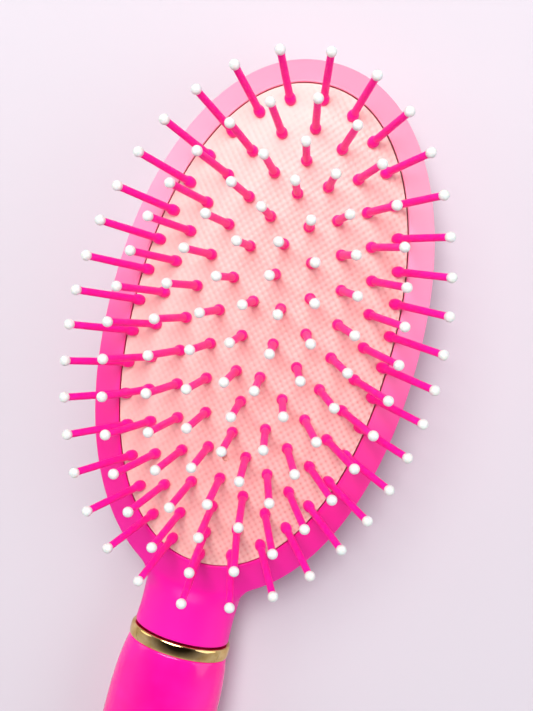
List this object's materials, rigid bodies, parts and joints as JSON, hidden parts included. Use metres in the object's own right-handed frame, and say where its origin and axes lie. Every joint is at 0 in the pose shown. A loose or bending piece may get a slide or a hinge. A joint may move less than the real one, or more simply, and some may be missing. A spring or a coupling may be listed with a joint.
{
  "type": "paddle hair brush",
  "caption": "Oval cushion hair brush with ball-tipped pins on a domed air pad, a ringed neck and a rounded grip.",
  "frame": {"origin": "on the surface the brush lies on, under the middle of its outline", "axes": "+X across the head, +Y towards the head's tip, +Z out of the bristle side"},
  "size_m": [0.0772, 0.2442, 0.0401],
  "materials": {
    "painted_shell": "satin",
    "grip_plastic": "glossy",
    "pad_rubber": "matte",
    "pin_nylon": "satin",
    "ball_nylon": "satin",
    "inner_plastic": "matte",
    "screw_steel": "satin",
    "gold_plating": "polished"
  },
  "bodies": {
    "handle": {"front_shell": "painted_shell", "back_shell": "painted_shell", "cushion_pad": "pad_rubber", "pad_retainer": "inner_plastic", "retainer_screws": "screw_steel", "gold_ring": "gold_plating", "grip": "grip_plastic"},
    "centre_row": {"centre_line_pins": "pin_nylon", "centre_line_ball_tips": "ball_nylon", "centre_pair_pins": "pin_nylon", "centre_pair_ball_tips": "ball_nylon"},
    "fourth_row": {"fourth_pins": "pin_nylon", "fourth_ball_tips": "ball_nylon"},
    "third_row": {"third_pins": "pin_nylon", "third_ball_tips": "ball_nylon"},
    "second_row": {"second_pins": "pin_nylon", "second_ball_tips": "ball_nylon"},
    "outer_row": {"outer_pins": "pin_nylon", "outer_ball_tips": "ball_nylon"}
  },
  "joints": [
    {"name": "centre_press", "type": "slide", "parent": "handle", "child": "centre_row", "axis": [0, 0, -1], "range_m": [0, 0.0024], "stiffness_N_per_m": 900, "deforming": ["cushion_pad"]},
    {"name": "fourth_press", "type": "slide", "parent": "handle", "child": "fourth_row", "axis": [0, 0, -1], "range_m": [0, 0.00221]},
    {"name": "third_press", "type": "slide", "parent": "handle", "child": "third_row", "axis": [0, 0, -1], "range_m": [0, 0.00185]},
    {"name": "second_press", "type": "slide", "parent": "handle", "child": "second_row", "axis": [0, 0, -1], "range_m": [0, 0.00127]},
    {"name": "outer_press", "type": "slide", "parent": "handle", "child": "outer_row", "axis": [0, 0, -1], "range_m": [0, 0.0003529]}
  ],
  "couplings": [
    {"joint": "fourth_press", "follows": "centre_press", "ratio": 0.9179},
    {"joint": "third_press", "follows": "centre_press", "ratio": 0.7679},
    {"joint": "second_press", "follows": "centre_press", "ratio": 0.525},
    {"joint": "outer_press", "follows": "centre_press", "ratio": 0.1429}
  ]
}
